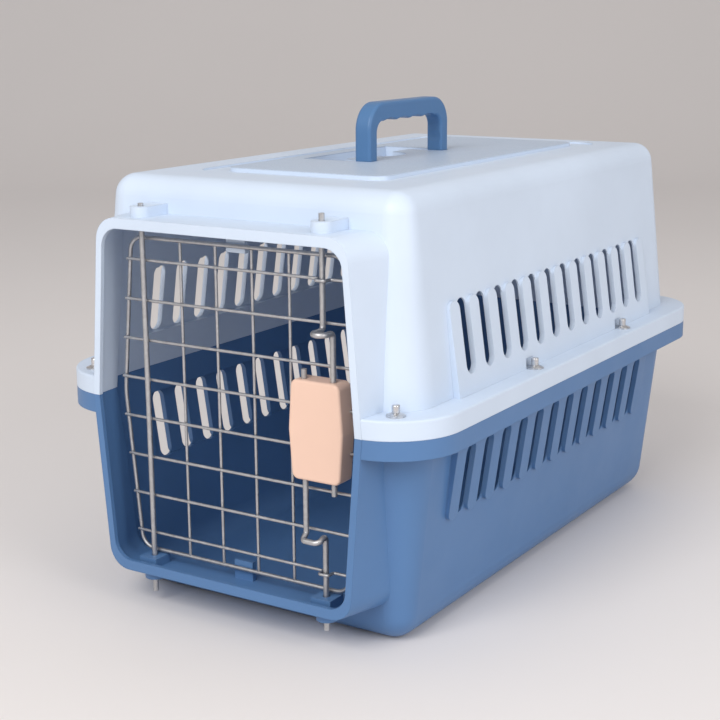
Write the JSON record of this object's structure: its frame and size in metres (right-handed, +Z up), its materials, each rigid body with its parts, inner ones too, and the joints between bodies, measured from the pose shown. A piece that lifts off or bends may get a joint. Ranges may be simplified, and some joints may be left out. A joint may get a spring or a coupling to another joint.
{
  "type": "pet carrier",
  "caption": "Two-shell plastic pet carrier with a flanged joint, vent slots, a hinged wire door with a sprung rod latch, and a fold-down carry handle.",
  "frame": {"origin": "centre of the bounding box, on the plane the floor of the tub rests on", "axes": "+Z up, +Y from the door towards the rear, +X to the right when looking at the rear from the door; the door faces -Y"},
  "size_m": [0.318, 0.5024, 0.3574],
  "materials": {
    "blue_plastic": "satin moulded polypropylene, mid blue",
    "pale_plastic": "satin moulded polypropylene, pale blue-white",
    "handle_plastic": "satin moulded polypropylene, deeper blue",
    "peach_plastic": "satin moulded plastic, pale peach",
    "steel_wire": "drawn and spot-welded steel wire, dull grey plating",
    "zinc": "bright zinc plate"
  },
  "bodies": {
    "shell": {"lower_shell": "blue_plastic", "upper_shell": "pale_plastic", "flange_bolts": "zinc", "push_nuts": "zinc"},
    "door": {"door_frame_wire": "steel_wire", "cross_wire_1": "steel_wire", "cross_wire_2": "steel_wire", "cross_wire_3": "steel_wire", "cross_wire_4": "steel_wire", "cross_wire_5": "steel_wire", "cross_wire_6": "steel_wire", "cross_wire_7": "steel_wire", "cross_wire_8": "steel_wire", "upright_wire_1": "steel_wire", "upright_wire_2": "steel_wire", "upright_wire_3": "steel_wire", "upright_wire_4": "steel_wire", "hinge_rod": "steel_wire", "latch_cover": "peach_plastic", "latch_back": "peach_plastic", "latch_screws": "zinc", "upper_latch_spring": "zinc", "lower_latch_spring": "zinc"},
    "upper_latch": {"upper_latch_rod": "steel_wire"},
    "lower_latch": {"lower_latch_rod": "steel_wire"},
    "handle": {"carry_handle": "handle_plastic"}
  },
  "joints": [
    {"name": "door_hinge", "type": "hinge", "parent": "shell", "child": "door", "pos_m": [-0.076, -0.23375, 0.157], "axis": [0, 0, -1], "range_deg": [0, 110]},
    {"name": "upper_latch_slide", "type": "slide", "parent": "door", "child": "upper_latch", "axis": [0, 0, -1], "range_m": [0, 0.022], "stiffness_N_per_m": 200, "springref_m": -0.015, "deforming": ["upper_latch_spring"]},
    {"name": "lower_latch_slide", "type": "slide", "parent": "door", "child": "lower_latch", "axis": [0, 0, 1], "range_m": [0, 0.026], "stiffness_N_per_m": 200, "springref_m": -0.015, "deforming": ["lower_latch_spring"]},
    {"name": "handle_fold", "type": "hinge", "parent": "shell", "child": "handle", "pos_m": [0, -0.00475, 0.3051], "axis": [0, -1, 0], "range_deg": [0, 90]}
  ]
}
